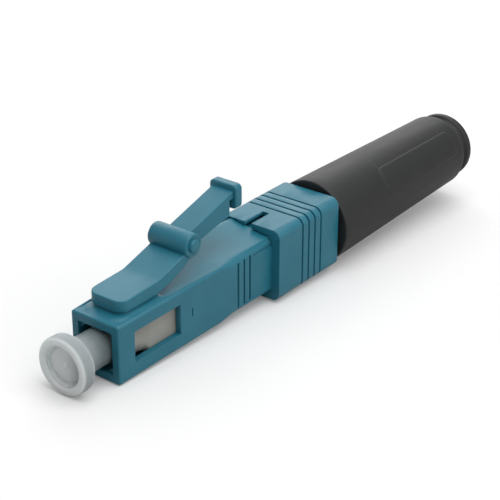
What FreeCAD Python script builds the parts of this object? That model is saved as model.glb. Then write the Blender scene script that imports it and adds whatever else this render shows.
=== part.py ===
import FreeCAD, Part
import math
import os

from FreeCAD import Vector

# A field-fitted optical fibre plug with its dust cap on, in millimetres.
# X runs along the fibre, from the nose (x = 0) back to the cable end.
# Y runs across, Z is up, and the fibre lies on the X axis.

# Plug housing, a square moulded tube
nose_width = 4.52
nose_height = 4.75
housing_end = 20.4
housing_edge_radius = 0.24
nose_front_bevel = 0.09
neck_edge_radius = 0.60
neck_start = 11.6
neck_full = 13.2
nose_wall = 1.30
mouth_width = 3.24
mouth_height = 3.40
mouth_step = 0.30
mouth_bore_radius = 1.88
cavity_width = 3.50
cavity_height = 3.90
window_start = 1.70
window_end = 6.80
window_bottom = -1.15
window_top = 1.33
grip_groove_start = 13.68
grip_groove_pitch = 0.80
grip_groove_count = 3
grip_groove_width = 0.22
grip_groove_depth = 0.16
grip_groove_height = 3.90
slit_place = 8.14
slit_width = 0.14
slit_height = 0.70
slit_depth = 0.12
slit_middle = 0.12

# Latch: a raised root pad, a sprung arm, a cross bar with side lugs and a thumb tab
pad_front = 1.12
pad_width = 3.34
pad_corner_radius = 0.75
pad_plinth_height = 0.25
pad_plinth_spread = 0.24
pad_seam = 0.12
pad_seam_inset = 0.10
pad_front_top = 3.62
pad_rear_top = 3.80
hinge_place = 5.20
hinge_gap = 0.03
arm_thickness = 0.62
bar_place = 8.85
bar_height = 5.20
bar_radius = 0.93
bar_length = 3.60
lug_radius = 0.70
lug_reach = 0.28
tab_width = 2.08
tab_end = 14.62
tab_end_top = 7.32
tab_end_bottom = 5.67
tab_root_top = 5.65
tab_root_bottom = 4.55
tab_notch_length = 0.40
tab_notch_height = 0.97
plate_thickness = 0.80
plate_width = 2.60
plate_bottom = 5.78
plate_top = 7.74
plate_corner_radius = 0.38
latch_edge_radius = 0.14
arm_root_slope = 0.25

# Dust cap
cap_front = 3.52
cap_rim_radius = 2.26
cap_rim_length = 0.95
cap_stem_radius = 1.43
cap_stem_end = 0.95
cap_recess_radius = 1.62
cap_recess_depth = 1.00
cap_recess_floor_radius = 1.33
cap_rim_rounding = 0.19
cap_flare_radius = 0.62
cap_bore_floor = 2.25

# Ferrule, its holder and spring
ferrule_radius = 0.6245
ferrule_reach = 1.90
ferrule_end = 5.20
ferrule_chamfer = 0.12
fibre_radius = 0.0625
fibre_end = 15.40
holder_collar_radius = 1.20
holder_collar_length = 1.00
holder_tube_radius = 0.76
holder_tube_end = 6.30
holder_rear_hole_radius = 0.25
spring_wire_radius = 0.11
spring_mean_radius = 0.98
spring_turns = 5
spring_end = 8.60

# Inner body, the pale part seen through the side windows
inner_collar_radius = 1.72
inner_collar_end = 2.70
inner_waist_place = 3.55
inner_waist_half = 1.62
inner_waist_rounding = 1.05
inner_block_start = 3.95
inner_block_half = 1.70
inner_block_rounding = 0.55
inner_end = 12.60
inner_aperture_radius = 0.90
inner_front_wall = 0.45
inner_bore_radius = 1.30

# Splice: a holder with a grooved base, a lid and a spring clip
holder_nose_wall = 0.50
splice_pocket_start = 13.30
splice_rear_wall = 1.10
splice_pocket_width = 1.60
splice_pocket_depth = 0.85
splice_half_width = 0.55
splice_half_height = 0.60
splice_end_gap = 0.10
groove_depth = 0.125
clip_thickness = 0.12

# Lock sleeve
sleeve_cover = 2.39
sleeve_length = 8.09
sleeve_wall = 0.65
sleeve_edge_radius = 0.70
ring_groove_offset = 3.125
ring_groove_pitch = 0.832
ring_groove_count = 4
ring_groove_width = 0.20
ring_groove_depth = 0.20
key_slot_width = 0.66
key_slot_length = 2.35
key_slot_middle = 0.15

# Tail body with its round barrel and slit collet
tail_plug_length = 1.40
barrel_radius = 2.57
barrel_length = 5.40
collet_radius = 2.20
collet_rear_radius = 1.95
collet_taper_length = 2.00
collet_slot_length = 9.60
collet_slot_width = 0.45
collet_slot_turns = (45, 135)
collet_end = 43.60
tail_bore_radius = 1.56
tail_bore_inset = 1.10

# Fibre guide inside the tail
guide_radius = 0.90
guide_bore_radius = 0.20
guide_mouth_radius = 0.70
guide_mouth_length = 1.60

# Cable grip jaws inside the collet
jaw_length = 8.60
jaw_wall = 0.42
jaw_split = 0.30
jaw_tooth_pitch = 2.10
jaw_tooth_depth = 0.16
jaw_tooth_width = 0.50
jaw_tooth_count = 3

# Boot
boot_gap = 0.25
boot_front_radius = 3.68
boot_rear_radius = 3.28
boot_shoulder_length = 0.55
boot_shoulder_rounding = 0.30
boot_notch_radius = 2.87
boot_tip_radius = 3.07
boot_tip_length = 1.60
boot_end_gap = 1.90
boot_tip_bevel = 0.09
boot_mouth_bevel = 0.12
boot_end_wall = 2.40
boot_cable_radius = 1.60
grip_offset = 6.85
grip_length = 11.6
grip_height = 0.06
grip_angle = 42.0
grip_turns = (124.0, 304.0)

# Clearances
running_gap = 0.05
seat_gap = 0.02
fibre_gap = 0.008
overlap = 0.01
overrun = 1.0
tiny = 0.0001
corner_steps = 2

# Worked out sizes
half_width = nose_width / 2
half_height = nose_height / 2
holder_front = nose_wall + inner_front_wall
pad_seam_bottom = half_height + pad_plinth_height
hinge_bottom = pad_seam_bottom + pad_seam
hinge_height = (hinge_bottom + pad_rear_top) / 2
hinge_radius = (pad_rear_top - hinge_bottom) / 2
sleeve_inner_half_width = half_width + running_gap
sleeve_inner_half_height = half_height + running_gap
sleeve_half_width = sleeve_inner_half_width + sleeve_wall
sleeve_half_height = sleeve_inner_half_height + sleeve_wall
sleeve_start = housing_end - sleeve_cover
sleeve_end = sleeve_start + sleeve_length
splice_block_end = housing_end - tail_plug_length
splice_pocket_end = splice_block_end - splice_rear_wall
tail_bore_start = sleeve_end - tail_bore_inset
barrel_end = sleeve_end + barrel_length
jaw_start = collet_end - jaw_length
boot_start = sleeve_end + boot_gap
boot_end = collet_end + boot_end_gap + boot_end_wall
boot_shoulder = boot_end - boot_tip_length
X_AXIS = Vector(1, 0, 0)


def block(x0, x1, y0, y1, z0, z1):
    """A box between two corners."""
    return Part.makeBox(x1 - x0, y1 - y0, z1 - z0, Vector(x0, y0, z0))


def centred_block(x0, x1, width, height):
    """A box centred on the fibre."""
    return block(x0, x1, -width / 2, width / 2, -height / 2, height / 2)


def rod(x0, x1, radius):
    """A round bar on the fibre's axis."""
    return Part.makeCylinder(radius, x1 - x0, Vector(x0, 0, 0), X_AXIS)


def cone(x0, x1, radius0, radius1):
    """A tapered round bar on the fibre's axis."""
    return Part.makeCone(radius0, radius1, x1 - x0, Vector(x0, 0, 0), X_AXIS)


def cross_rod(x, z, radius, y0, y1):
    """A round bar across the plug."""
    return Part.makeCylinder(radius, y1 - y0, Vector(x, y0, z), Vector(0, 1, 0))


def turned(points, angle=360):
    """A solid turned about the fibre's axis from (x, radius) points."""
    outline = Part.makePolygon([Vector(x, r, 0) for x, r in points + points[:1]])
    return Part.Face(outline).revolve(Vector(0, 0, 0), X_AXIS, angle)


def corner_points(x, r, radius, start, end):
    """Points round one corner of a turned outline, about (x, r), in equal steps."""
    points = []
    for step in range(corner_steps + 1):
        angle = math.radians(start + (end - start) * step / corner_steps)
        points.append((x + radius * math.cos(angle), r + radius * math.sin(angle)))
    return points


def bevelled_edges(shape, width, chosen):
    """Cut a flat bevel on the edges that the test picks."""
    return shape.makeChamfer(width, [edge for edge in shape.Edges if chosen(edge)])


def rounded_section(x, half_y, half_z, radius):
    """A closed rectangle with round corners, square to the fibre."""
    edges = []
    corners = [(1, 1, 0), (-1, 1, 90), (-1, -1, 180), (1, -1, 270)]
    arcs = []
    for side_y, side_z, start in corners:
        centre_y = side_y * (half_y - radius)
        centre_z = side_z * (half_z - radius)
        points = []
        for turn in (0, 45, 90):
            angle = math.radians(start + turn)
            points.append(Vector(x, centre_y + radius * math.cos(angle), centre_z + radius * math.sin(angle)))
        arcs.append(points)
    for index, points in enumerate(arcs):
        edges.append(Part.Arc(*points).toShape())
        following = arcs[(index + 1) % len(arcs)]
        edges.append(Part.LineSegment(points[2], following[0]).toShape())
    return Part.Wire(edges)


def blended_bar(sections):
    """A bar that changes shape through (x, half_y, half_z, radius) sections."""
    return Part.makeLoft([rounded_section(*section) for section in sections], True, True)


def rounded_edges(shape, radius, chosen):
    """Round the edges that the test picks."""
    edges = [edge for edge in shape.Edges if chosen(edge)]
    return shape.makeFillet(radius, edges)


def runs_along(edge):
    """True for an edge that runs along the fibre."""
    return abs(edge.Vertexes[0].X - edge.Vertexes[-1].X) > tiny


def square_bar(x0, x1, half_y, half_z, radius):
    """A straight bar with round long edges."""
    return rounded_edges(centred_block(x0, x1, 2 * half_y, 2 * half_z), radius, runs_along)


def upright_profile(points, width):
    """A plate cut from an (x, z) outline and centred across the plug."""
    outline = Part.makePolygon([Vector(x, -width / 2, z) for x, z in points + points[:1]])
    return Part.Face(outline).extrude(Vector(0, width, 0))


def at_x(edge, x):
    """True for an edge that lies in the plane at x."""
    return all(abs(vertex.X - x) < tiny for vertex in edge.Vertexes)


def pad_outline(z, grow):
    """The pad's outline at a height, round in front and grown by that much on three sides."""
    front = pad_front - grow
    half = pad_width / 2 + grow
    radius = pad_corner_radius + grow
    bend = radius * (1 - math.sqrt(0.5))
    arcs = []
    for side in (-1, 1):
        arcs.append([Vector(front + radius, side * half, z), Vector(front + bend, side * (half - bend), z),
                     Vector(front, side * (half - radius), z)])
    low, high = arcs
    rear_low = Vector(hinge_place, -half, z)
    rear_high = Vector(hinge_place, half, z)
    return Part.Wire([Part.LineSegment(rear_low, low[0]).toShape(), Part.Arc(*low).toShape(),
                      Part.LineSegment(low[2], high[2]).toShape(), Part.Arc(*reversed(high)).toShape(),
                      Part.LineSegment(high[0], rear_high).toShape(),
                      Part.LineSegment(rear_high, rear_low).toShape()])


def latch_pad():
    """The raised root of the latch: a spreading plinth, a fine seam and a pad that is round in front."""
    plinth = Part.makeLoft([pad_outline(half_height - seat_gap, pad_plinth_spread),
                            pad_outline(pad_seam_bottom, 0)], True, True)
    seam = Part.Face(pad_outline(pad_seam_bottom - overlap, -pad_seam_inset))
    seam = seam.extrude(Vector(0, 0, pad_seam + 2 * overlap))
    rim = Part.Face(pad_outline(hinge_bottom, 0)).extrude(Vector(0, 0, pad_rear_top - hinge_bottom))
    pad = plinth.fuse([seam, rim])
    slope = upright_profile([(pad_front - overrun, pad_front_top), (pad_front, pad_front_top),
                             (hinge_place, pad_rear_top), (hinge_place, pad_rear_top + overrun),
                             (pad_front - overrun, pad_rear_top + overrun)], pad_width + overrun)
    socket = cross_rod(hinge_place, hinge_height, hinge_radius + hinge_gap, -half_width, half_width)
    return pad.cut(slope).cut(socket)


def plug_housing():
    """The outer moulding: nose, side windows, neck with grip grooves and latch root."""
    nose = square_bar(0, neck_start, half_width, half_height, housing_edge_radius)
    nose = bevelled_edges(nose, nose_front_bevel, lambda edge: at_x(edge, 0))
    blend = blended_bar([(neck_start, half_width, half_height, housing_edge_radius),
                         (neck_full, half_width, half_height, neck_edge_radius)])
    body = nose.fuse([blend, square_bar(neck_full, housing_end, half_width, half_height, neck_edge_radius)])
    body = body.cut(centred_block(-overrun, mouth_step, mouth_width, mouth_height))
    body = body.cut(centred_block(0, nose_wall + overlap, mouth_width, mouth_height)
                    .common(rod(0, nose_wall + overlap, mouth_bore_radius)))
    body = body.cut(centred_block(nose_wall, housing_end + overrun, cavity_width, cavity_height))
    body = body.cut(block(window_start, window_end, -half_width - overrun, half_width + overrun,
                          window_bottom, window_top))
    for side in (-1, 1):
        outside = side * half_width
        for index in range(grip_groove_count):
            x = grip_groove_start + index * grip_groove_pitch
            groove = block(x - grip_groove_width / 2, x + grip_groove_width / 2,
                           outside - grip_groove_depth, outside + grip_groove_depth,
                           -grip_groove_height / 2, grip_groove_height / 2)
            body = body.cut(groove)
        slit = block(slit_place - slit_width / 2, slit_place + slit_width / 2,
                     outside - slit_depth, outside + slit_depth,
                     slit_middle - slit_height / 2, slit_middle + slit_height / 2)
        body = body.cut(slit)
    return body.fuse(latch_pad()).removeSplitter()


def latch_curve(x0, z0, slope0, x1, z1, slope1):
    """A smooth edge between two ends with a slope at each."""
    reach = (x1 - x0) / 3
    curve = Part.BezierCurve()
    curve.setPoles([Vector(x0, 0, z0), Vector(x0 + reach, 0, z0 + reach * slope0),
                    Vector(x1 - reach, 0, z1 - reach * slope1), Vector(x1, 0, z1)])
    return curve.toShape()


def latch_arm():
    """The sprung arm, its cross bar with lugs, the thumb tab and the end plate."""
    half = pad_width / 2
    rise = (bar_height - hinge_height) / (bar_place - hinge_place)
    arm_top = bar_height + arm_thickness / 2
    arm_bottom = bar_height - arm_thickness / 2
    top = latch_curve(hinge_place, pad_rear_top, arm_root_slope, bar_place, arm_top, rise)
    rear = Part.LineSegment(Vector(bar_place, 0, arm_top), Vector(bar_place, 0, arm_bottom)).toShape()
    root_bottom = pad_rear_top - arm_thickness
    bottom = latch_curve(hinge_place, root_bottom, arm_root_slope, bar_place, arm_bottom, rise)
    front = Part.LineSegment(Vector(hinge_place, 0, root_bottom),
                             Vector(hinge_place, 0, pad_rear_top)).toShape()
    outline = Part.Wire(Part.__sortEdges__([top, rear, bottom, front]))
    arm = Part.Face(outline).extrude(Vector(0, pad_width, 0))
    arm.translate(Vector(0, -half, 0))
    knuckle = cross_rod(hinge_place, hinge_height, hinge_radius, -half, half)
    bar = cross_rod(bar_place, bar_height, bar_radius, -bar_length / 2, bar_length / 2)
    bar = bevelled_edges(bar, latch_edge_radius, lambda edge: len(edge.Vertexes) == 1)
    lug_half = bar_length / 2 + lug_reach
    lugs = cross_rod(bar_place, bar_height, lug_radius, -lug_half, lug_half)
    tab = upright_profile([(bar_place, tab_root_bottom), (tab_end, tab_end_bottom),
                           (tab_end + plate_thickness / 2, tab_end_bottom),
                           (tab_end + plate_thickness / 2, tab_end_top),
                           (tab_end, tab_end_top), (bar_place, tab_root_top)], tab_width)
    notch = block(tab_end - tab_notch_length, tab_end, -tab_width, tab_width,
                  tab_end_bottom - overrun, tab_end_bottom + tab_notch_height)
    plate = block(tab_end, tab_end + plate_thickness, -plate_width / 2, plate_width / 2,
                  plate_bottom, plate_top)
    plate = rounded_edges(plate, plate_corner_radius, lambda edge: abs(edge.Length - plate_thickness) < tiny)
    plate = bevelled_edges(plate, latch_edge_radius, lambda edge: at_x(edge, tab_end + plate_thickness)
                           or at_x(edge, tab_end))
    latch = arm.fuse([knuckle, bar, lugs, tab.cut(notch), plate])
    return latch.removeSplitter()


def dust_cap():
    """A soft cap: cupped rim, flared back and a hollow stem over the ferrule."""
    front = -cap_front
    rim_end = front + cap_rim_length
    rim_middle = cap_rim_radius - cap_rim_rounding
    rim = corner_points(front + cap_rim_rounding, rim_middle, cap_rim_rounding, 180, 90)
    back = corner_points(rim_end - cap_rim_rounding, rim_middle, cap_rim_rounding, 90, 0)
    flare = corner_points(rim_end + cap_flare_radius, cap_stem_radius + cap_flare_radius, cap_flare_radius,
                          180, 270)
    cap = turned([(front, 0)] + rim + back + flare + [(cap_stem_end, cap_stem_radius), (cap_stem_end, 0)])
    cup = cone(front - overlap, front + cap_recess_depth, cap_recess_radius, cap_recess_floor_radius)
    bore = rod(-cap_bore_floor, cap_stem_end + overrun, ferrule_radius + running_gap)
    return cap.cut(cup).cut(bore)


def ferrule():
    """The ceramic ferrule with its fibre hole and chamfered tip."""
    shell = turned([(-ferrule_reach, 0), (-ferrule_reach, ferrule_radius - ferrule_chamfer),
                    (-ferrule_reach + ferrule_chamfer, ferrule_radius),
                    (ferrule_end, ferrule_radius), (ferrule_end, 0)])
    return shell.cut(rod(-ferrule_reach - overrun, ferrule_end + overrun, fibre_radius + fibre_gap))


def ferrule_holder():
    """The collar and tube that carry the ferrule."""
    collar_end = holder_front + holder_collar_length
    body = rod(holder_front, collar_end, holder_collar_radius)
    body = body.fuse(rod(holder_front, holder_tube_end, holder_tube_radius)).removeSplitter()
    body = body.cut(rod(holder_front - overrun, ferrule_end, ferrule_radius + seat_gap / 2))
    return body.cut(rod(ferrule_end - overlap, holder_tube_end + overrun, holder_rear_hole_radius))


def fibre_stub():
    """The short length of bare fibre fixed in the ferrule."""
    return rod(-ferrule_reach, fibre_end, fibre_radius)


def ferrule_spring():
    """The coil spring that pushes the ferrule forward."""
    start = holder_front + holder_collar_length + spring_wire_radius + seat_gap
    length = spring_end - spring_wire_radius - seat_gap - start
    helix = Part.makeHelix(length / spring_turns, length, spring_mean_radius)
    corners = []
    for out, along in ((1, 0), (0, 1), (-1, 0), (0, -1), (1, 0)):
        corners.append(Vector(spring_mean_radius + out * spring_wire_radius, 0, along * spring_wire_radius))
    coil = Part.Wire(helix).makePipeShell([Part.makePolygon(corners)], True, True)
    coil.rotate(Vector(0, 0, 0), Vector(0, 1, 0), 90)
    coil.translate(Vector(start, 0, 0))
    return coil


def inner_body():
    """The pale carrier that the windows show: a round collar that swells into a square block."""
    collar = rod(nose_wall, inner_collar_end, inner_collar_radius)
    swell = blended_bar([
        (inner_collar_end, inner_collar_radius, inner_collar_radius, inner_collar_radius - overlap),
        (inner_waist_place, inner_waist_half, inner_waist_half, inner_waist_rounding),
        (inner_block_start, inner_block_half, inner_block_half, inner_block_rounding)])
    tube = square_bar(inner_block_start, inner_end, inner_block_half, inner_block_half, inner_block_rounding)
    body = collar.fuse([swell, tube])
    body = body.cut(rod(nose_wall - overrun, inner_end + overrun, inner_aperture_radius))
    return body.cut(rod(holder_front, inner_end + overrun, inner_bore_radius))


def splice_holder():
    """The block behind the spring, with a pocket for the splice and a nose in the inner body."""
    nose_radius = inner_bore_radius - seat_gap
    body = rod(spring_end, inner_end, nose_radius)
    body = body.fuse(centred_block(inner_end, splice_block_end, cavity_width - 2 * seat_gap,
                                   cavity_height - 2 * seat_gap))
    body = body.cut(rod(spring_end - overrun, splice_pocket_start, nose_radius - holder_nose_wall))
    body = body.cut(block(splice_pocket_start, splice_pocket_end, -splice_pocket_width / 2,
                          splice_pocket_width / 2, -splice_pocket_depth, cavity_height))
    return body.cut(rod(splice_pocket_start, splice_block_end + overrun, guide_bore_radius))


def splice_length():
    """Where the two splice halves start and end in the pocket."""
    return splice_pocket_start + splice_end_gap, splice_pocket_end - splice_end_gap


def splice_base():
    """The lower splice half, with the groove that lines the fibres up."""
    x0, x1 = splice_length()
    base = block(x0, x1, -splice_half_width, splice_half_width, -splice_half_height, 0)
    groove = Part.Face(Part.makePolygon([Vector(x0, -groove_depth, 0), Vector(x0, 0, -groove_depth),
                                         Vector(x0, groove_depth, 0), Vector(x0, -groove_depth, 0)]))
    return base.cut(groove.extrude(Vector(x1 - x0, 0, 0)))


def splice_lid():
    """The upper splice half, relieved over the fibre."""
    x0, x1 = splice_length()
    lid = block(x0, x1, -splice_half_width, splice_half_width, 0, splice_half_height)
    relief = fibre_radius + 2 * fibre_gap
    return lid.cut(block(x0, x1, -relief, relief, 0, relief))


def splice_clip():
    """The folded spring clip that squeezes the splice halves together."""
    x0, x1 = splice_length()
    inside = splice_half_height
    spine = splice_half_width + seat_gap
    body = block(x0, x1, -splice_half_width, spine + clip_thickness,
                 -inside - clip_thickness, inside + clip_thickness)
    return body.cut(block(x0 - overrun, x1 + overrun, -splice_half_width - overrun, spine, -inside, inside))


def lock_sleeve():
    """The sliding sleeve: square with round corners, ring grooves and a key slot in its top."""
    body = square_bar(sleeve_start, sleeve_end, sleeve_half_width, sleeve_half_height, sleeve_edge_radius)
    body = body.cut(square_bar(sleeve_start - overrun, sleeve_end + overrun, sleeve_inner_half_width,
                               sleeve_inner_half_height, neck_edge_radius + running_gap))
    for index in range(ring_groove_count):
        x = sleeve_start + ring_groove_offset + index * ring_groove_pitch
        x0 = x - ring_groove_width / 2
        x1 = x + ring_groove_width / 2
        outside = centred_block(x0, x1, sleeve_half_width * 2 + overrun, sleeve_half_height * 2 + overrun)
        inside = centred_block(x0 - overrun, x1 + overrun, 2 * (sleeve_half_width - ring_groove_depth),
                               2 * (sleeve_half_height - ring_groove_depth))
        inside = bevelled_edges(inside, sleeve_edge_radius - ring_groove_depth, runs_along)
        body = body.cut(outside.cut(inside))
    slot = block(sleeve_start - overrun, sleeve_start + key_slot_length, key_slot_middle - key_slot_width / 2,
                 key_slot_middle + key_slot_width / 2, 0, sleeve_half_height + overrun)
    return body.cut(slot)


def tail_body():
    """The rear carrier: a square block under the sleeve, a round barrel and a slit collet."""
    body = centred_block(splice_block_end, housing_end, cavity_width - 2 * seat_gap,
                         cavity_height - 2 * seat_gap)
    body = body.fuse(square_bar(housing_end, sleeve_end, half_width, half_height, neck_edge_radius))
    body = body.fuse(rod(sleeve_end, barrel_end, barrel_radius))
    taper_start = collet_end - collet_taper_length
    body = body.fuse(rod(barrel_end, taper_start, collet_radius))
    body = body.fuse(cone(taper_start, collet_end, collet_radius, collet_rear_radius))
    body = body.cut(rod(splice_block_end - overrun, tail_bore_start, guide_radius + seat_gap))
    body = body.cut(rod(tail_bore_start - overlap, collet_end + overrun, tail_bore_radius))
    for turn in collet_slot_turns:
        slot = block(collet_end - collet_slot_length, collet_end + overrun,
                     -collet_slot_width / 2, collet_slot_width / 2,
                     -collet_radius - overrun, collet_radius + overrun)
        slot.rotate(Vector(0, 0, 0), X_AXIS, turn)
        body = body.cut(slot)
    return body


def fibre_guide():
    """The funnel tube that leads the fibre into the splice."""
    start = splice_block_end
    tube = rod(start, tail_bore_start, guide_radius)
    tube = tube.cut(rod(start - overrun, tail_bore_start + overrun, guide_bore_radius))
    return tube.cut(cone(tail_bore_start - guide_mouth_length, tail_bore_start,
                         guide_bore_radius, guide_mouth_radius))


def clamp_jaw(side):
    """One of two half-round jaws with ring teeth that grip the cable; side is 1 above, -1 below."""
    outer = tail_bore_radius - seat_gap
    inner = outer - jaw_wall
    shell = rod(jaw_start, collet_end, outer).cut(rod(jaw_start - overrun, collet_end + overrun, inner))
    for index in range(jaw_tooth_count):
        x0 = jaw_start + (index + 1) * jaw_tooth_pitch
        x1 = x0 + jaw_tooth_width
        tooth = rod(x0, x1, inner + overlap)
        tooth = tooth.cut(rod(x0 - overrun, x1 + overrun, inner - jaw_tooth_depth))
        shell = shell.fuse(tooth)
    low, high = sorted((side * jaw_split / 2, side * (outer + overrun)))
    return shell.common(block(jaw_start - overrun, collet_end + overrun, -outer - overrun, outer + overrun,
                              low, high))


def grip_panel(turn):
    """A slightly raised grip panel along the tail cap's taper, turned to its place."""
    start = boot_start + grip_offset
    taper = (boot_front_radius - boot_rear_radius) / (boot_shoulder - boot_start)
    top = boot_front_radius + grip_height - taper * grip_offset
    foot = boot_rear_radius - grip_height
    panel = turned([(start, foot), (start, top), (start + grip_length, top - taper * grip_length),
                    (start + grip_length, foot)], grip_angle)
    panel.rotate(Vector(0, 0, 0), X_AXIS, turn)
    return panel


def boot():
    """The tapered tail cap with two grip panels, a stepped shoulder and a flared tip."""
    tip_start = boot_shoulder + boot_shoulder_length
    wall_start = boot_end - boot_end_wall
    shoulder = corner_points(tip_start - boot_shoulder_rounding, boot_rear_radius - boot_shoulder_rounding,
                             boot_shoulder_rounding, 90, 0)
    body = turned([(boot_start, 0), (boot_start, boot_front_radius - boot_mouth_bevel),
                   (boot_start + boot_mouth_bevel, boot_front_radius)]
                  + shoulder + [(tip_start, boot_notch_radius), (boot_end - boot_tip_bevel, boot_tip_radius),
                                (boot_end, boot_tip_radius - boot_tip_bevel), (boot_end, 0)])
    body = body.fuse([grip_panel(turn) for turn in grip_turns])
    mouth = barrel_radius + running_gap
    body = body.cut(rod(boot_start - overrun, wall_start, mouth))
    return body.cut(rod(wall_start - overrun, boot_end + overrun, boot_cable_radius))


def main():
    os.makedirs("parts", exist_ok=True)
    pieces = {
        "plug_housing": plug_housing(),
        "latch_arm": latch_arm(),
        "dust_cap": dust_cap(),
        "ferrule": ferrule(),
        "ferrule_holder": ferrule_holder(),
        "fibre_stub": fibre_stub(),
        "ferrule_spring": ferrule_spring(),
        "inner_body": inner_body(),
        "splice_holder": splice_holder(),
        "splice_base": splice_base(),
        "splice_lid": splice_lid(),
        "splice_clip": splice_clip(),
        "lock_sleeve": lock_sleeve(),
        "tail_body": tail_body(),
        "fibre_guide": fibre_guide(),
        "clamp_jaw_upper": clamp_jaw(1),
        "clamp_jaw_lower": clamp_jaw(-1),
        "boot": boot(),
    }
    for name, shape in pieces.items():
        shape.exportStep("parts/" + name + ".step")
        print(name, "valid" if shape.isValid() else "NOT VALID", len(shape.Solids), "solids",
              round(shape.Volume, 4), "mm3")


main()
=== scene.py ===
import math

import bmesh
import bpy
from mathutils import Matrix, Vector


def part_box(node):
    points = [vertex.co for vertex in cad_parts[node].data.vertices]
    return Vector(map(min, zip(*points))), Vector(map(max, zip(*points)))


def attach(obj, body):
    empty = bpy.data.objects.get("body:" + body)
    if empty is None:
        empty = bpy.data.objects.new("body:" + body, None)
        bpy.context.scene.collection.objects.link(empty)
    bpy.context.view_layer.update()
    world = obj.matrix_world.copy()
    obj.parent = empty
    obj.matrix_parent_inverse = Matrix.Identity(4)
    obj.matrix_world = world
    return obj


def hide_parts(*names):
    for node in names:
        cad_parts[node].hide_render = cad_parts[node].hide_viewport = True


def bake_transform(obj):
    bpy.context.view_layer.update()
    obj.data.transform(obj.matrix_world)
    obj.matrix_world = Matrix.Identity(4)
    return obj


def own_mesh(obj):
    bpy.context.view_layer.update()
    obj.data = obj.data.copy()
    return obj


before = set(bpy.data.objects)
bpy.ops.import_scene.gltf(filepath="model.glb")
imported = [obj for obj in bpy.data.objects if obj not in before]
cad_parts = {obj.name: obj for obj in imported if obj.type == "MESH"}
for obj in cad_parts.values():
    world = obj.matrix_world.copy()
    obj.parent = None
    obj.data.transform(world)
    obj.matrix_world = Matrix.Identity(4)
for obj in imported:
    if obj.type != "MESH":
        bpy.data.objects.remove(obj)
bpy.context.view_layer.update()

# The scene is in metres, in the same frame as the solids: X along the fibre, Z up.
# Shapes are written in millimetres and scaled when a mesh is made.
MM = 0.001

# Points closer than this, in metres, count as one.
WELD = 0.000001

# Camera, as it stood for the photograph, in millimetres and degrees
CAMERA_PLACE = (-66.61, -64.97, 54.19)
CAMERA_AZIMUTH = -52.50
CAMERA_ELEVATION = 26.64
CAMERA_ROLL = 0.16
CAMERA_LENS = 108
SENSOR_WIDTH = 36

# Colours, as linear values
TEAL = (0.014, 0.150, 0.212)
TEAL_DEEP = (0.010, 0.132, 0.192)
BLACK = (0.0105, 0.0115, 0.012)
BLACK_DEEP = (0.0085, 0.009, 0.0095)
CAP_GREY = (0.30, 0.33, 0.34)
CAP_DEEP = (0.27, 0.30, 0.31)
# Painted light: the cap's front and dish are painted this paler colour
CAP_PAINTED_LIGHT = (0.66, 0.685, 0.69)
# Painted shade: the cap's stem is painted this darker colour
STEM_PAINTED_SHADE = (0.14, 0.17, 0.18)
PALE = (0.31, 0.31, 0.28)
PALE_DEEP = (0.26, 0.26, 0.235)
IVORY = (0.52, 0.50, 0.44)
CERAMIC = (0.78, 0.78, 0.75)
STEEL = (0.55, 0.54, 0.52)
BRASS = (0.52, 0.42, 0.25)

# Floor, in metres, its colour to the object and to the eye, its glow to the eye, and the surround's light
FLOOR_SIZE = 1.6
FLOOR_PAPER = (0.50, 0.49, 0.485)
FLOOR_SEEN = (0.70, 0.70, 0.70)
FLOOR_GLOW = 0.13
SURROUND = 0.5

# Lamps: name, direction from their target, distance and size in millimetres, and brightness
LAMP_TARGET = (20, 0, 0)
LAMPS = (
    ("top_light", (0.05, -0.25, 1), 300, 300, 2.55),
    ("back_light", (0.66, 0.58, 0.46), 320, 300, 1.5),
    ("side_light", (0.1, -1, 0.35), 320, 240, 1.3),
)

# Latch skin over the housing's pad and the latch solid, in millimetres
SKIN_PROUD = 0.02
SOFT_EDGE = 0.11
PAD_FRONT = 1.12
PAD_BACK = 4.90
PAD_SEAM_TOP = 2.70
PAD_FRONT_TOP = 3.62
PAD_TOP = ((3.10, 3.735), (4.45, 3.785))
PAD_REAR_TOP = 3.785
PAD_HALF = 1.67
PAD_CORNER = 0.85
ARM_TOP = ((5.35, 3.91), (5.90, 4.08), (7.00, 4.40), (8.00, 4.71), (9.20, 5.10))
ARM_UNDER = ((9.20, 4.50), (8.85, 4.22), (8.16, 3.84), (7.23, 3.43),
             (6.60, 3.16), (5.90, 2.96), (5.20, 2.82), (4.60, 2.74))
BAR_PLACE = 8.85
BAR_HEIGHT = 5.20
BAR_RADIUS = 0.93
BAR_HALF = 1.86
BAR_SIDES = 56
LUG_RADIUS = 0.50
TAB_OUTLINE = ((8.85, 4.38), (14.22, 5.39), (14.22, 6.64), (14.72, 6.64), (14.72, 7.32), (8.85, 5.65))
TAB_HALF = 1.04
PLATE_FRONT = 14.62
PLATE_HALF = 1.30
PLATE_RISE = (5.78, 7.74)
PLATE_CORNER = 0.38
PLATE_SOFT = 0.15

# The housing's pad core inside the latch skin, in millimetres
CORE_BASE = (2.60, 2.63)
CORE_SUNK = 2.54
CORE_MIDDLE = 3.10
CORE_SCALE = 0.9
CORE_TOP = 3.50

# The foot round the pad: where it lies, the part under the pad that stays, and where it spreads to
FOOT_SPAN = (0.50, 5.30)
FOOT_HEIGHTS = (2.37, 2.60)
FOOT_INNER = (1.70, 5.00)
FOOT_INNER_HALF = 1.20
FOOT_MIDDLE = 3.00
FOOT_FRONT_LENGTH = 2.12
FOOT_REACH = 0.55
FOOT_END = 5.10
FOOT_REAR = 5.50
FOOT_SPREAD = 1.055
FOOT_TOP = 2.455

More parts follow.
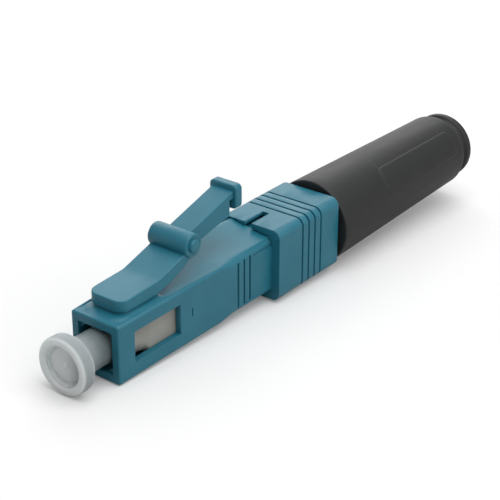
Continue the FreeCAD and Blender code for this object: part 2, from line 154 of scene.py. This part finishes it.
# The housing's deck behind the foot and its near side, in millimetres: where they change and by how much
NOSE_HALF = 2.26
DECK_FRONT = 5.19
DECK_LOW = 1.70
DECK_RISE = 0.70
DECK_CURVE = 1.8
DECK_CUTS = [5.7 + step * 0.4 for step in range(19)] + [14.2, 15.8, 17.0, 18.15, 18.4]
DECK_SEAMS = [step * 0.3 for step in range(-5, 6)]
DECK_RAMP = (5.6, 12.4)
DECK_END = (18.15, 18.40)
SIDE_TAPER = 0.20
SIDE_RAMP = (13.2, 17.0)
UPPER_WALL = (0.9, 1.9)
NEAR_WALL = (1.8, 2.1)
HOUSING_SOFT = 0.05

# The lock sleeve's mouth over the deck, in millimetres
MOUTH_CUTS = (20.45, 20.65, 20.90)
MOUTH_END = (20.45, 20.90)
MOUTH_HALF = (2.55, 2.65)
MOUTH_GAP = 0.03
SLEEVE_SOFT = 0.06

# Dust cap, in millimetres: where its front is painted pale as painted light, where its stem is painted
# darker as painted shade, and its dish, painted pale with painted shade on its near side and leaning to the
# far side
CAP_SIDES = 112
CAP_FRONT = (-3.47, -3.30)
CAP_STEM = (-2.0, -0.8)
DISH_RADIUS = 1.60
DISH_BACK = -2.60
DISH_PAINTED_SHADE_SPAN = (-1.3, -0.1)
DISH_LEAN = 0.14

# Thread on the tail body's barrel, in millimetres
THREAD_SPAN = (26.6, 31.3)
THREAD_PITCH = 0.5
THREAD_DEPTH = 0.12

# Softened edges of the inner body, in millimetres
INNER_SOFT = 0.04

# Tail cap, in millimetres, and its grip panels, with their middles and half width in degrees
TAIL_FRONT = 26.35
TAIL_FRONT_RADIUS = 3.68
TAIL_REAR_RADIUS = 3.28
TAIL_TAPER = 19.95
TAIL_SIDES = 120
GRIP_MIDDLES = (145.0, 325.0)
GRIP_HALF = 21.0
GRIP_SPAN = (33.20, 44.80)
GRIP_LIFT = 0.06
GRIP_CORNER = 0.55
GRIP_EDGE = 0.09
GRIP_TURN = 1.45
GRIP_STEPS = range(-2, 9)


def shader(name):
    """A fresh material, its node tree and its surface shader."""
    material = bpy.data.materials.new(name)
    material.use_nodes = True
    return material, material.node_tree, material.node_tree.nodes["Principled BSDF"]


def place(tree):
    """The piece's own coordinates, in metres."""
    return tree.nodes.new("ShaderNodeTexCoord").outputs["Object"]


def stretched(tree, factors):
    """The piece's own coordinates, scaled along each axis."""
    node = tree.nodes.new("ShaderNodeMapping")
    node.inputs["Scale"].default_value = factors
    tree.links.new(place(tree), node.inputs["Vector"])
    return node.outputs["Vector"]


def noise(tree, scale, detail=4, roughness=0.5, factors=None):
    """A noise pattern; scale is waves per metre."""
    node = tree.nodes.new("ShaderNodeTexNoise")
    node.inputs["Scale"].default_value = scale
    node.inputs["Detail"].default_value = detail
    node.inputs["Roughness"].default_value = roughness
    tree.links.new(stretched(tree, factors) if factors else place(tree), node.inputs["Vector"])
    return node.outputs["Fac"]


def spread(tree, value, low, high, start=0.3, end=0.7):
    """The pattern's middle stretched from low to high."""
    node = tree.nodes.new("ShaderNodeMapRange")
    node.inputs["From Min"].default_value = start
    node.inputs["From Max"].default_value = end
    node.inputs["To Min"].default_value = low
    node.inputs["To Max"].default_value = high
    tree.links.new(value, node.inputs["Value"])
    return node.outputs["Result"]


def sums(tree, operation, first, second=None):
    """One step of arithmetic on a value and a value or number."""
    node = tree.nodes.new("ShaderNodeMath")
    node.operation = operation
    for socket, value in zip(node.inputs, (first, second)):
        if isinstance(value, (int, float)):
            socket.default_value = value
        elif value is not None:
            tree.links.new(value, socket)
    return node.outputs[0]


def along(tree, axis):
    """How far along an axis a point lies, in metres."""
    node = tree.nodes.new("ShaderNodeSeparateXYZ")
    tree.links.new(place(tree), node.inputs[0])
    return node.outputs[axis]


def between(tree, value, span, low, high):
    """A change from low to high between two places in millimetres."""
    return spread(tree, value, low, high, span[0] * MM, span[1] * MM)


def mixed_colour(tree, value, first, second):
    """A colour between two, by the pattern; each of the two is a colour or a mix."""
    node = tree.nodes.new("ShaderNodeMix")
    node.data_type = "RGBA"
    for socket, colour in ((node.inputs["A"], first), (node.inputs["B"], second)):
        if isinstance(colour, tuple):
            socket.default_value = (*colour, 1)
        else:
            tree.links.new(colour, socket)
    tree.links.new(value, node.inputs["Factor"])
    return node.outputs["Result"]


def dimmed(colour, share):
    """A colour at a share of its brightness."""
    return tuple(value * share for value in colour)


def bump(tree, value, height, under=None):
    """A bump of that height in metres, on top of another."""
    node = tree.nodes.new("ShaderNodeBump")
    node.inputs["Distance"].default_value = height
    node.inputs["Strength"].default_value = 1
    tree.links.new(value, node.inputs["Height"])
    if under is not None:
        tree.links.new(under, node.inputs["Normal"])
    return node.outputs["Normal"]


def moulded_plastic(name, colour, second, gloss, grain):
    """Moulded plastic: slight clouding, a spark-eroded grain, drag marks and uneven gloss."""
    material, tree, surface = shader(name)
    cloud = spread(tree, noise(tree, 420, detail=3), 0, 1)
    tree.links.new(mixed_colour(tree, cloud, colour, second), surface.inputs["Base Color"])
    drag = noise(tree, 900, roughness=0.6, factors=(0.12, 1, 1))
    tree.links.new(spread(tree, drag, gloss - 0.04, gloss + 0.04), surface.inputs["Roughness"])
    soft = bump(tree, noise(tree, 700, detail=3), 5 * grain)
    tree.links.new(bump(tree, noise(tree, 12000, detail=3), grain, soft), surface.inputs["Normal"])
    surface.inputs["IOR"].default_value = 1.47
    return material


def soft_rubber(name, colour, second, painted_light_colour, stem_painted_shade):
    """Milky soft plastic with flow marks that lets light in; painted light makes the front and the dish
    pale, and painted shade darkens the dish's near side and the stem.
    """
    material, tree, surface = shader(name)
    x = along(tree, "X")
    y = along(tree, "Y")
    squares = sums(tree, "ADD", sums(tree, "POWER", y, 2), sums(tree, "POWER", along(tree, "Z"), 2))
    inside = between(tree, sums(tree, "SQRT", squares), (DISH_RADIUS, DISH_RADIUS + 0.08), 1, 0)
    dish = sums(tree, "MULTIPLY", inside, between(tree, x, (DISH_BACK - 0.1, DISH_BACK), 1, 0))
    # Painted shade: towards -Y the dish's share of the painted light drops, so its near side is darker
    dish_painted_light_share = sums(tree, "MULTIPLY", dish, between(tree, y, DISH_PAINTED_SHADE_SPAN, 0.15, 1))
    # Painted light: the front, and the dish by its share, take the paler colour
    front = sums(tree, "MAXIMUM", between(tree, x, CAP_FRONT, 0.8, 0), dish_painted_light_share)
    cloud = spread(tree, noise(tree, 500), 0, 1)
    faced = mixed_colour(tree, front, mixed_colour(tree, cloud, colour, second), painted_light_colour)
    # Painted shade: the stem takes the darker colour
    whole = mixed_colour(tree, between(tree, x, CAP_STEM, 0, 1), faced, stem_painted_shade)
    tree.links.new(whole, surface.inputs["Base Color"])
    tree.links.new(spread(tree, noise(tree, 1200), 0.40, 0.50), surface.inputs["Roughness"])
    flow = bump(tree, noise(tree, 600, detail=3, factors=(1, 1, 0.4)), 0.000012)
    tree.links.new(bump(tree, noise(tree, 9000, detail=2), 0.0000012, flow), surface.inputs["Normal"])
    surface.inputs["Subsurface Weight"].default_value = 0.9
    surface.inputs["Subsurface Radius"].default_value = (0.9, 1.0, 1.0)
    surface.inputs["Subsurface Scale"].default_value = 0.0014
    surface.inputs["IOR"].default_value = 1.45
    return material


def threaded_plastic(name, colour, second):
    """Black plastic whose barrel carries a fine thread."""
    material = moulded_plastic(name, colour, second, gloss=0.45, grain=0.000003)
    tree = material.node_tree
    surface = tree.nodes["Principled BSDF"]
    start, end = THREAD_SPAN
    x = along(tree, "X")
    turn = sums(tree, "ARCTAN2", along(tree, "Z"), along(tree, "Y"))
    phase = sums(tree, "ADD", sums(tree, "MULTIPLY", x, 2 * math.pi / (THREAD_PITCH * MM)), turn)
    crest = spread(tree, sums(tree, "SINE", phase), 0, 1, -1, 1)
    behind_start = sums(tree, "GREATER_THAN", x, start * MM)
    inside = sums(tree, "MULTIPLY", behind_start, sums(tree, "LESS_THAN", x, end * MM))
    thread = sums(tree, "MULTIPLY", crest, inside)
    under = surface.inputs["Normal"].links[0].from_socket
    tree.links.new(bump(tree, thread, THREAD_DEPTH * MM, under), surface.inputs["Normal"])
    return material


def ceramic(name, colour):
    """Ground and polished ceramic: fine lapping rings and a clean gloss."""
    material, tree, surface = shader(name)
    cloud = spread(tree, noise(tree, 800), 0, 1)
    tree.links.new(mixed_colour(tree, cloud, colour, dimmed(colour, 0.95)), surface.inputs["Base Color"])
    rings = noise(tree, 3000, detail=3, factors=(8, 0.3, 0.3))
    tree.links.new(spread(tree, rings, 0.10, 0.18), surface.inputs["Roughness"])
    ridges = noise(tree, 3000, detail=2, factors=(8, 0.3, 0.3))
    tree.links.new(bump(tree, ridges, 0.0000004), surface.inputs["Normal"])
    surface.inputs["IOR"].default_value = 1.8
    return material


def metal(name, colour, low, high):
    """Drawn or turned metal with fine lines round it and slight tarnish."""
    material, tree, surface = shader(name)
    cloud = spread(tree, noise(tree, 900), 0, 1)
    tree.links.new(mixed_colour(tree, cloud, colour, dimmed(colour, 0.85)), surface.inputs["Base Color"])
    surface.inputs["Metallic"].default_value = 1
    lines = noise(tree, 2500, detail=3, factors=(10, 0.4, 0.4))
    tree.links.new(spread(tree, lines, low, high), surface.inputs["Roughness"])
    tree.links.new(bump(tree, lines, 0.0000006), surface.inputs["Normal"])
    return material


def camera():
    """The photograph's camera."""
    turn, lift, roll = (math.radians(v) for v in (CAMERA_AZIMUTH, CAMERA_ELEVATION, CAMERA_ROLL))
    right = Vector((math.cos(turn), math.sin(turn), 0))
    back = Vector((math.sin(turn) * math.cos(lift), -math.cos(turn) * math.cos(lift), math.sin(lift)))
    up = back.cross(right)
    across = right * math.cos(roll) + up * math.sin(roll)
    above = up * math.cos(roll) - right * math.sin(roll)
    data = bpy.data.cameras.new("camera")
    data.lens = CAMERA_LENS
    data.sensor_width = SENSOR_WIDTH
    data.clip_start = 0.005
    eye = bpy.data.objects.new("camera", data)
    bpy.context.collection.objects.link(eye)
    axes = Matrix((across, above, back)).transposed().to_4x4()
    eye.matrix_world = Matrix.Translation(Vector(CAMERA_PLACE) * MM) @ axes
    bpy.context.scene.camera = eye


def floor():
    """A plain pale floor that touches the cap's rim and the tail cap's rim."""
    cap_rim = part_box("dust_cap")
    tail_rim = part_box("boot")
    front = Vector((cap_rim[0][0], 0, cap_rim[0][2]))
    rear = Vector((tail_rim[0][0], 0, tail_rim[0][2]))
    tilt = math.atan2(front.z - rear.z, rear.x - front.x)
    bpy.ops.mesh.primitive_plane_add(size=FLOOR_SIZE, location=(front + rear) / 2, rotation=(0, tilt, 0))
    ground = bpy.context.object
    ground.name = "floor"
    material, tree, surface = shader("floor_paper")
    seen = tree.nodes.new("ShaderNodeLightPath").outputs["Is Camera Ray"]
    grain = spread(tree, noise(tree, 60), 0.985, 1, 0, 1)
    paper = mixed_colour(tree, sums(tree, "MULTIPLY", seen, grain), FLOOR_PAPER, FLOOR_SEEN)
    tree.links.new(paper, surface.inputs["Base Color"])
    surface.inputs["Specular IOR Level"].default_value = 0.05
    tree.links.new(spread(tree, noise(tree, 900), 0.85, 0.95), surface.inputs["Roughness"])
    glow = tree.nodes.new("ShaderNodeEmission")
    tree.links.new(sums(tree, "MULTIPLY", seen, FLOOR_GLOW), glow.inputs["Strength"])
    both = tree.nodes.new("ShaderNodeAddShader")
    tree.links.new(surface.outputs[0], both.inputs[0])
    tree.links.new(glow.outputs[0], both.inputs[1])
    tree.links.new(both.outputs[0], tree.nodes["Material Output"].inputs["Surface"])
    ground.data.materials.append(material)


def lamp(name, direction, distance, size, brightness):
    """A square soft light that faces the object from a direction, in millimetres."""
    data = bpy.data.lights.new(name, "AREA")
    data.shape = "SQUARE"
    data.size = size * MM
    data.energy = brightness * math.pi * (size * MM) ** 2
    light = bpy.data.objects.new(name, data)
    bpy.context.collection.objects.link(light)
    way = Vector(direction).normalized()
    light.location = (Vector(LAMP_TARGET) + way * distance) * MM
    light.rotation_euler = way.to_track_quat("Z", "Y").to_euler()


def studio():
    """A soft light overhead, one behind, one beside, and a pale surround."""
    for settings in LAMPS:
        lamp(*settings)
    world = bpy.data.worlds.new("surround")
    bpy.context.scene.world = world
    world.use_nodes = True
    ground = world.node_tree.nodes["Background"]
    ground.inputs["Color"].default_value = (1, 1, 1, 1)
    seen = world.node_tree.nodes.new("ShaderNodeLightPath").outputs["Is Camera Ray"]
    strength = spread(world.node_tree, seen, SURROUND, 1, 0, 1)
    world.node_tree.links.new(strength, ground.inputs["Strength"])


def soft_rims(piece, width):
    """Soften a piece's sharp edges by a width in millimetres."""
    rim = piece.modifiers.new("soft_edges", "BEVEL")
    rim.width = width * MM
    rim.segments = 2
    rim.limit_method = "ANGLE"
    rim.angle_limit = math.radians(40)


def piece_from(name, mesh_parts, material):
    """One object from vertices in millimetres and faces, smooth but for its sharp edges."""
    points, faces = mesh_parts
    mesh = bpy.data.meshes.new(name)
    mesh.from_pydata([[value * MM for value in point] for point in points], [], faces)
    return finished_piece(name, mesh, material)


def finished_piece(name, mesh, material, soft=0):
    """Link a mesh as an object, its sharp edges softened and its flat faces kept flat."""
    bm = bmesh.new()
    bm.from_mesh(mesh)
    bmesh.ops.recalc_face_normals(bm, faces=bm.faces)
    bm.to_mesh(mesh)
    bm.free()
    mesh.shade_smooth()
    mesh.set_sharp_from_angle(angle=math.radians(50))
    mesh.materials.append(material)
    piece = bpy.data.objects.new(name, mesh)
    bpy.context.collection.objects.link(piece)
    if soft:
        soft_rims(piece, soft)
    weighted = piece.modifiers.new("flat_faces", "WEIGHTED_NORMAL")
    weighted.keep_sharp = True
    weighted.weight = 50
    bpy.context.view_layer.update()
    final = bpy.data.meshes.new_from_object(piece.evaluated_get(bpy.context.evaluated_depsgraph_get()))
    piece.modifiers.clear()
    piece.data = final
    return piece


def eased(value, start, end):
    """A smooth rise from 0 at start to 1 at end."""
    share = min(max((value - start) / (end - start), 0), 1)
    return share * share * (3 - 2 * share)


def turned(profile, angles, radius_at=None):
    """Vertices and faces of an outline of (x, radius) points turned about the fibre.

    The outline's first and last points lie on the axis.
    """
    points = [(profile[0][0], 0, 0)]
    for x, radius in profile[1:-1]:
        for angle in angles:
            r = radius_at(x, radius, angle) if radius_at else radius
            points.append((x, r * math.cos(angle), r * math.sin(angle)))
    points.append((profile[-1][0], 0, 0))
    count = len(angles)
    rings = len(profile) - 2
    last = len(points) - 1
    faces = []
    for step in range(count):
        following = (step + 1) % count
        faces.append((0, 1 + following, 1 + step))
        faces.append((last, last - count + step, last - count + following))
        for ring in range(rings - 1):
            low = 1 + ring * count
            high = low + count
            faces.append((low + step, low + following, high + following, high + step))
    return points, faces


def even_angles(count):
    """Angles evenly round a circle."""
    return [2 * math.pi * step / count for step in range(count)]


def arc(x, r, radius, start, end, steps=6):
    """Points of a turned outline round a corner's centre, from one angle to another in degrees."""
    points = []
    for step in range(steps + 1):
        angle = math.radians(start + (end - start) * step / steps)
        points.append((x + radius * math.cos(angle), r + radius * math.sin(angle)))
    return points


def dust_cap(material):
    """The soft cap: rounded rim, dish with a raised middle, flared back and a stem with a blind bore."""
    # Raised middle and floor of the dish
    profile = [(-3.16, 0), (-3.155, 0.08), (-3.13, 0.16), (-3.08, 0.22), (-3.04, 0.28), (-3.02, 0.38),
               (-3.01, 0.62), (-2.99, 0.86), (-2.96, 1.08), (-2.93, 1.26)]
    # Wall of the dish and the rounded lip
    profile += arc(-3.01, 1.42, 0.14, -50, 50, 5) + [(-3.10, 1.57), (-3.20, 1.59)]
    profile += arc(-3.355, 1.76, 0.16, -50, -180, 5)[:-1]
    profile += [(-3.515, 1.83), (-3.505, 1.98)] + arc(-3.28, 2.02, 0.24, 170, 90)
    # Rim and flared back
    profile += [(-2.80, 2.26)] + arc(-2.58, 2.02, 0.24, 90, 14)
    profile += [(-2.33, 2.02)] + arc(-1.55, 2.10, 0.67, 187, 270, 8)
    # Stem and blind bore
    profile += [(-1.2, 1.43), (0.2, 1.43)] + arc(0.87, 1.35, 0.08, 90, 0, 3)
    profile += [(0.95, 0.75), (0.90, 0.70), (-2.25, 0.675), (-2.25, 0)]
    points, faces = turned(profile, even_angles(CAP_SIDES))
    shaped = []
    for px, py, pz in points:
        dish = eased(DISH_RADIUS - math.hypot(py, pz), 0, 0.2) * eased(DISH_BACK - px, 0, 0.1)
        shaped.append((px - DISH_LEAN * py * dish, py, pz))
    return piece_from("soft_dust_cap", (shaped, faces), material)


def boot_stations():
    """Places along the tail cap's taper, close together at the grip panels' ends."""
    start, end = GRIP_SPAN
    places = [TAIL_FRONT + 0.12 + step for step in range(1, 20)]
    for step in GRIP_STEPS:
        places += [start + step * GRIP_EDGE, end - step * GRIP_EDGE]
    return sorted(places)


def boot_angles():
    """Angles round the tail cap, close together at the grip panels' edges."""
    closest = 0.004
    angles = even_angles(TAIL_SIDES)
    for middle in GRIP_MIDDLES:
        for step in GRIP_STEPS:
            for side in (-1, 1):
                angles.append(math.radians(middle + side * (GRIP_HALF - step * GRIP_TURN)) % (2 * math.pi))
    angles.sort()
    return [angle for index, angle in enumerate(angles) if index == 0 or angle - angles[index - 1] > closest]


def grip_height(x, radius, angle):
    """The tail cap's radius with its two raised, round-cornered grip panels."""
    middle_x = sum(GRIP_SPAN) / 2
    half_x = (GRIP_SPAN[1] - GRIP_SPAN[0]) / 2
    raised = 0
    for middle in GRIP_MIDDLES:
        away = abs((math.degrees(angle) - middle + 180) % 360 - 180)
        out_x = abs(x - middle_x) - half_x + GRIP_CORNER
        out_y = math.radians(away - GRIP_HALF) * radius + GRIP_CORNER
        outside = math.hypot(max(out_x, 0), max(out_y, 0)) + min(max(out_x, out_y), 0) - GRIP_CORNER
        raised = max(raised, eased(0.5 - outside / GRIP_EDGE, 0, 1))
    return radius + GRIP_LIFT * raised


def tail_cap(material):
    """The tapered tail cap with grip panels, a round shoulder, a notch and a flared, rounded tip."""
    profile = [(TAIL_FRONT, 0), (TAIL_FRONT, 2.66), (TAIL_FRONT, 3.52)] + arc(26.49, 3.54, 0.14, 180, 92, 4)
    for x in boot_stations():
        share = (x - TAIL_FRONT) / TAIL_TAPER
        profile.append((x, TAIL_FRONT_RADIUS - (TAIL_FRONT_RADIUS - TAIL_REAR_RADIUS) * share))
    # Shoulder, notch and flared tip
    profile += arc(45.72, 2.60, 0.70, 90, 12, 8)
    profile += [(46.50, 2.62), (46.62, 2.59), (46.80, 2.66), (46.98, 2.82)]
    profile += arc(47.28, 2.80, 0.22, 160, 90, 4) + arc(47.60, 2.72, 0.30, 90, 0)
    # Cable entry and hollow
    profile += [(47.90, 1.72)] + arc(47.80, 1.70, 0.10, 0, -90, 3)
    profile += [(45.6, 1.60), (45.5, 1.70), (45.5, 2.62), (26.55, 2.62), (26.40, 2.66), (26.40, 0)]
    return piece_from("moulded_tail_cap", turned(profile, boot_angles(), grip_height), material)


def prism(bm, outline, half):
    """A plate between two sides, from an (x, z) outline."""
    sides = []
    for y in (-half, half):
        sides.append([bm.verts.new((x, y, z)) for x, z in outline])
    left, right = sides
    bm.faces.new(left)
    bm.faces.new(list(reversed(right)))
    for index in range(len(outline)):
        after = (index + 1) % len(outline)
        bm.faces.new((left[after], left[index], right[index], right[after]))
    bmesh.ops.recalc_face_normals(bm, faces=bm.faces)


def soften(bm, chosen, width, segments):
    """Round the edges that the test picks."""
    edges = [edge for edge in bm.edges if chosen(edge)]
    bmesh.ops.bevel(bm, geom=edges, offset=width, offset_type="OFFSET", segments=segments, profile=0.5,
                    affect="EDGES", clamp_overlap=True)


def is_sharp(edge):
    """True where two faces meet at more than 35 degrees."""
    return len(edge.link_faces) == 2 and edge.calc_face_angle() > math.radians(35)


def is_upright(edge, x):
    """True for an edge that stands upright at a place along the fibre."""
    first, second = (vert.co for vert in edge.verts)
    return abs(first.x - x) < 0.001 and abs(second.x - x) < 0.001 and abs(first.y - second.y) < 0.001


def joined(*parts):
    """One bmesh holding every part."""
    whole = bmesh.new()
    for part in parts:
        mesh = bpy.data.meshes.new("part")
        part.to_mesh(mesh)
        whole.from_mesh(mesh)
        part.free()
        bpy.data.meshes.remove(mesh)
    return whole


def latch_arm_part():
    """The pad's skin and the sprung arm as one moulding, round in front."""
    front = PAD_FRONT - SKIN_PROUD
    outline = [(front, PAD_SEAM_TOP), (front, PAD_FRONT_TOP + SKIN_PROUD), *PAD_TOP]
    outline += [(PAD_BACK, PAD_REAR_TOP + SKIN_PROUD), *ARM_TOP, *ARM_UNDER]
    part = bmesh.new()
    prism(part, outline, PAD_HALF + SKIN_PROUD)
    soften(part, lambda edge: is_upright(edge, front), PAD_CORNER, 10)
    soften(part, is_sharp, SOFT_EDGE, 3)
    return part


def bar_part():
    """The cross bar with rounded rims and a low boss on each end."""
    part = bmesh.new()
    end = -BAR_HALF
    outline = [(end - 0.20, 0), (end - 0.20, LUG_RADIUS - 0.10), (end - 0.17, LUG_RADIUS - 0.03)]
    outline += [(end - 0.11, LUG_RADIUS), (end + 0.02, LUG_RADIUS + 0.01)]
    outline += [(end + 0.03, BAR_RADIUS - 0.23), (end + 0.01, BAR_RADIUS - 0.20), (end, BAR_RADIUS - 0.12)]
    outline += [(end + 0.04, BAR_RADIUS - 0.04), (end + 0.14, BAR_RADIUS)]
    outline += [(-y, radius) for y, radius in reversed(outline)]
    points, faces = turned(outline, even_angles(BAR_SIDES))
    verts = [part.verts.new((BAR_PLACE + across, y, BAR_HEIGHT + up)) for y, across, up in points]
    for face in faces:
        part.faces.new([verts[index] for index in face])
    return part


def tab_part():
    """The thumb tab, notched under its end."""
    part = bmesh.new()
    prism(part, TAB_OUTLINE, TAB_HALF)
    soften(part, is_sharp, SOFT_EDGE * 0.9, 3)
    return part


def plate_part():
    """The end plate, round at its corners and along its rims."""
    part = bmesh.new()
    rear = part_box("latch_arm")[1][0] / MM
    low, high = PLATE_RISE
    prism(part, [(PLATE_FRONT, low), (PLATE_FRONT, high), (rear, high), (rear, low)], PLATE_HALF)
    soften(part, lambda edge: abs(edge.verts[0].co.x - edge.verts[1].co.x) > 0.1, PLATE_CORNER, 6)
    soften(part, is_sharp, PLATE_SOFT, 3)
    return part


def latch_skin(material):
    """The whole latch as one moulding; the real one bends at its root."""
    whole = joined(latch_arm_part(), bar_part(), tab_part(), plate_part())
    mesh = bpy.data.meshes.new("latch_skin")
    whole.to_mesh(mesh)
    whole.free()
    mesh.transform(Matrix.Scale(MM, 4))
    return finished_piece("latch_skin", mesh, material)


def cut_top(bm, point, normal):
    """Divide the upper faces behind the latch's foot along a plane."""
    parts = set()
    for face in bm.faces:
        if all(vert.co.x > DECK_FRONT * MM and vert.co.z > DECK_LOW * MM for vert in face.verts):
            parts.update((face, *face.edges, *face.verts))
    place_of_cut = Vector(point) * MM
    bmesh.ops.bisect_plane(bm, geom=list(parts), dist=WELD, plane_co=place_of_cut, plane_no=normal)


def reshaped(name, node, cuts, move, soft, material):
    """A copy of a solid with cuts across the fibre, its points moved and its edges softened."""
    bm = bmesh.new()
    bm.from_mesh(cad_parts[node].data)
    bmesh.ops.remove_doubles(bm, verts=bm.verts, dist=WELD)
    for x in cuts:
        cut_top(bm, (x, 0, 0), (1, 0, 0))
    for y in DECK_SEAMS:
        cut_top(bm, (0, y, 0), (0, 1, 0))
    for vert in bm.verts:
        vert.co = Vector(move(*(vert.co / MM))) * MM
    mesh = bpy.data.meshes.new(name)
    bm.to_mesh(mesh)
    bm.free()
    return finished_piece(name, mesh, material, soft)


def deck_rise(y):
    """How far the deck rises from its near edge to its far one."""
    return DECK_RISE * min(max((y + NOSE_HALF) / (2 * NOSE_HALF), 0), 1) ** DECK_CURVE


def core_point(x, y, z):
    """Where a point of the pad's core goes: in under the latch skin."""
    if z < CORE_BASE[1]:
        return x, y, CORE_SUNK
    return CORE_MIDDLE + (x - CORE_MIDDLE) * CORE_SCALE, y * CORE_SCALE, min(z, CORE_TOP)


def on_foot_rim(x, y, z):
    """True for a point of the foot that isn't under the pad."""
    rim = abs(y) > FOOT_INNER_HALF or not FOOT_INNER[0] <= x <= FOOT_INNER[1]
    return rim and FOOT_SPAN[0] < x < FOOT_SPAN[1] and FOOT_HEIGHTS[0] < z < FOOT_HEIGHTS[1]


def foot_point(x, y, z):
    """Where a point of the foot's rim goes: lower and further out, as a smooth fillet."""
    ahead = FOOT_REACH * max(FOOT_MIDDLE - x, 0) / FOOT_FRONT_LENGTH
    return FOOT_REAR if x > FOOT_END else x - ahead, y * FOOT_SPREAD, min(z, FOOT_TOP)


def housing_point(x, y, z):
    """Where a point of the housing goes: pad core, foot, leaning deck and tapered near side."""
    if x < FOOT_SPAN[1] and z > CORE_BASE[0]:
        x, y, z = core_point(x, y, z)
    elif on_foot_rim(x, y, z):
        x, y, z = foot_point(x, y, z)
    here = 1 - eased(x, *DECK_END)
    z += deck_rise(y) * eased(x, *DECK_RAMP) * here * eased(z, *UPPER_WALL)
    y += SIDE_TAPER * eased(x, *SIDE_RAMP) * here * eased(-y, *NEAR_WALL)
    return x, y, z


def sleeve_point(x, y, z):
    """Where a point of the lock sleeve goes: its mouth follows the deck and the tapered side."""
    if abs(y) < MOUTH_HALF[0] and abs(z) < MOUTH_HALF[1]:
        here = 1 - eased(x, *MOUTH_END)
        z += (deck_rise(y) + MOUTH_GAP) * here * eased(z, *UPPER_WALL)
        y += SIDE_TAPER * here * eased(-y, *NEAR_WALL)
    return x, y, z


def wire_coil(material):
    """The round-wire spring with a closed turn at each end."""
    low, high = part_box("ferrule_spring")
    wire = 0.11
    turns = 7
    steps = 300
    sides = 10
    radius = high[2] / MM - wire
    start = low[0] / MM + wire
    end = high[0] / MM - wire
    points = []
    for step in range(steps + 1):
        t = step / steps
        turn = 2 * math.pi * turns * t
        closed = min(t * turns, 1) + max(min((t - 1) * turns + 1, 1), 0)
        open_share = min(max((t - 1 / turns) / (1 - 2 / turns), 0), 1)
        x = start + 2 * wire * closed + (end - start - 4 * wire) * open_share
        for side in range(sides):
            angle = 2 * math.pi * side / sides
            r = radius + wire * math.cos(angle)
            points.append((x + wire * math.sin(angle), r * math.cos(turn), r * math.sin(turn)))
    faces = []
    for step in range(steps):
        low_ring = step * sides
        high_ring = low_ring + sides
        for side in range(sides):
            after = (side + 1) % sides
            faces.append((low_ring + side, low_ring + after, high_ring + after, high_ring + side))
    faces.append(tuple(range(sides)))
    faces.append(tuple(reversed(range(steps * sides, (steps + 1) * sides))))
    return piece_from("wire_coil", (points, faces), material)


def finish_nodes(looks):
    """Give each solid its material and soften the edges of the inner body."""
    for name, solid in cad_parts.items():
        solid.data.materials.clear()
        solid.data.materials.append(looks[name])
    soft_rims(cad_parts["inner_body"], INNER_SOFT)
    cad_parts["inner_body"].modifiers.new("flat_faces", "WEIGHTED_NORMAL")


def dress():
    """Make the scene's own pieces and name the body that each rides on, all but the latch skin, which rides
    on none.
    """
    teal = moulded_plastic("teal_plastic", TEAL, TEAL_DEEP, gloss=0.42, grain=0.0000012)
    black = moulded_plastic("black_plastic", BLACK, BLACK_DEEP, gloss=0.52, grain=0.000002)
    pale = moulded_plastic("pale_plastic", PALE, PALE_DEEP, gloss=0.38, grain=0.000002)
    ivory = moulded_plastic("ivory_plastic", IVORY, dimmed(IVORY, 0.94), gloss=0.35, grain=0.000001)
    rubber = soft_rubber("cap_rubber", CAP_GREY, CAP_DEEP, CAP_PAINTED_LIGHT, STEM_PAINTED_SHADE)
    thread = threaded_plastic("threaded_plastic", BLACK, BLACK_DEEP)
    steel = metal("spring_steel", STEEL, low=0.2, high=0.34)
    brass = metal("holder_brass", BRASS, low=0.22, high=0.36)
    zirconia = ceramic("zirconia", CERAMIC)
    finish_nodes({
        "plug_housing": teal, "latch_arm": teal, "lock_sleeve": teal,
        "boot": black, "clamp_jaw_upper": black, "clamp_jaw_lower": black, "tail_body": thread,
        "dust_cap": rubber, "inner_body": pale, "splice_base": pale,
        "splice_holder": ivory, "splice_lid": ivory, "fibre_guide": ivory,
        "splice_clip": steel, "ferrule_spring": steel, "ferrule_holder": brass,
        "ferrule": zirconia, "fibre_stub": zirconia,
    })

    latch = latch_skin(teal)
    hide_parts("latch_arm")
    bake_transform(latch)
    housing = reshaped("moulded_housing", "plug_housing", DECK_CUTS, housing_point, HOUSING_SOFT, teal)
    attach(housing, "core")
    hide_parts("plug_housing")
    sleeve = reshaped("moulded_sleeve", "lock_sleeve", MOUTH_CUTS, sleeve_point, SLEEVE_SOFT, teal)
    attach(sleeve, "sleeve")
    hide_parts("lock_sleeve")
    cap = dust_cap(rubber)
    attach(cap, "cap")
    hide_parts("dust_cap")
    tail = tail_cap(black)
    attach(tail, "tail_cap")
    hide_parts("boot")
    coil = wire_coil(steel)
    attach(coil, "core")
    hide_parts("ferrule_spring")
    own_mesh(coil)


bpy.context.scene.view_settings.view_transform = "Standard"
camera()
floor()
studio()
dress()
